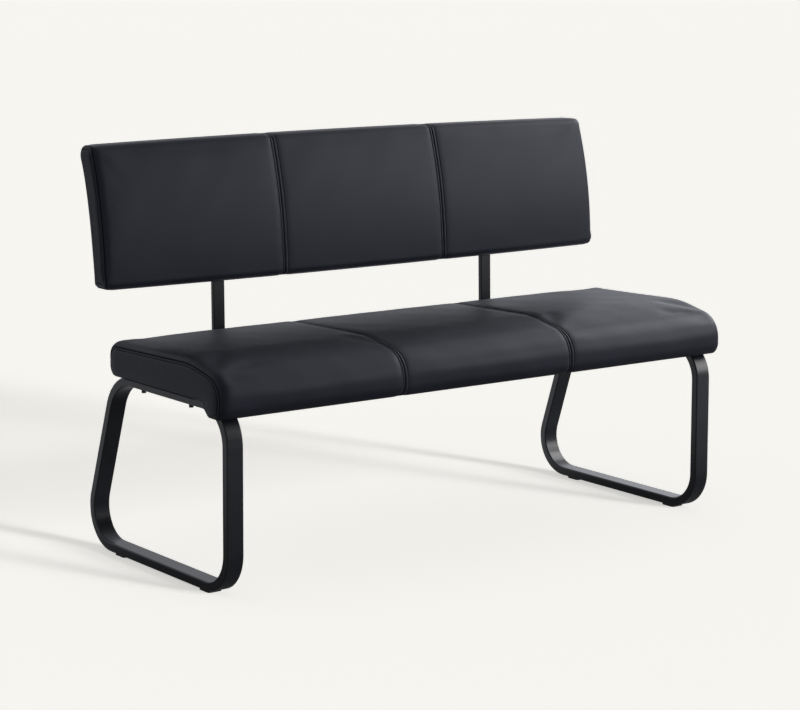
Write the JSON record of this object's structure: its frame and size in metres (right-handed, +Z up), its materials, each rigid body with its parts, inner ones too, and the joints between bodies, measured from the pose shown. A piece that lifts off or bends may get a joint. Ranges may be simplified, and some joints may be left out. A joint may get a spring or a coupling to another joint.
{
  "type": "bench",
  "caption": "Long padded bench with a curved backrest on posts, sewn panel upholstery and closed flat-tube leg loops.",
  "frame": {"origin": "on the floor, under the middle of the bench's length and depth", "axes": "+X along the bench's length, to the right seen from its front; +Y from the front to the back; +Z up"},
  "size_m": [1.4, 0.595, 0.91],
  "materials": {
    "frame": "fine satin powder coat",
    "upholstery": "smooth leather-like cover with a fine grain, satin",
    "dust_cover": "thin matt non-woven cloth",
    "plywood": "unfinished beech plywood",
    "foam": "cut upholstery foam",
    "plastic": "matt moulded plastic",
    "fastener": "black oxide, satin",
    "insert": "plain turned brass"
  },
  "bodies": {
    "root": {"left_leg_frame": "frame", "right_leg_frame": "frame", "left_back_post": "frame", "right_back_post": "frame", "seat_cover_left": "upholstery", "seat_cover_middle": "upholstery", "seat_cover_right": "upholstery", "seat_end_panel_left": "upholstery", "seat_end_panel_right": "upholstery", "backrest_cover_left": "upholstery", "backrest_cover_middle": "upholstery", "backrest_cover_right": "upholstery", "backrest_end_panel_left": "upholstery", "backrest_end_panel_right": "upholstery", "backrest_back_cover": "upholstery", "seat_dust_cover": "dust_cover", "seat_shell": "plywood", "backrest_board": "plywood", "seat_foam": "foam", "backrest_front_foam": "foam", "backrest_rear_foam": "foam", "left_front_glide": "plastic", "left_rear_glide": "plastic", "right_front_glide": "plastic", "right_rear_glide": "plastic", "left_post_plug": "plastic", "right_post_plug": "plastic", "leg_bolts": "fastener", "leg_washers": "fastener", "post_bolts": "fastener", "post_washers": "fastener", "backrest_bolts": "fastener", "backrest_washers": "fastener", "leg_insert_nuts": "insert", "post_insert_nuts": "insert", "backrest_insert_nuts": "insert"}
  },
  "joints": []
}
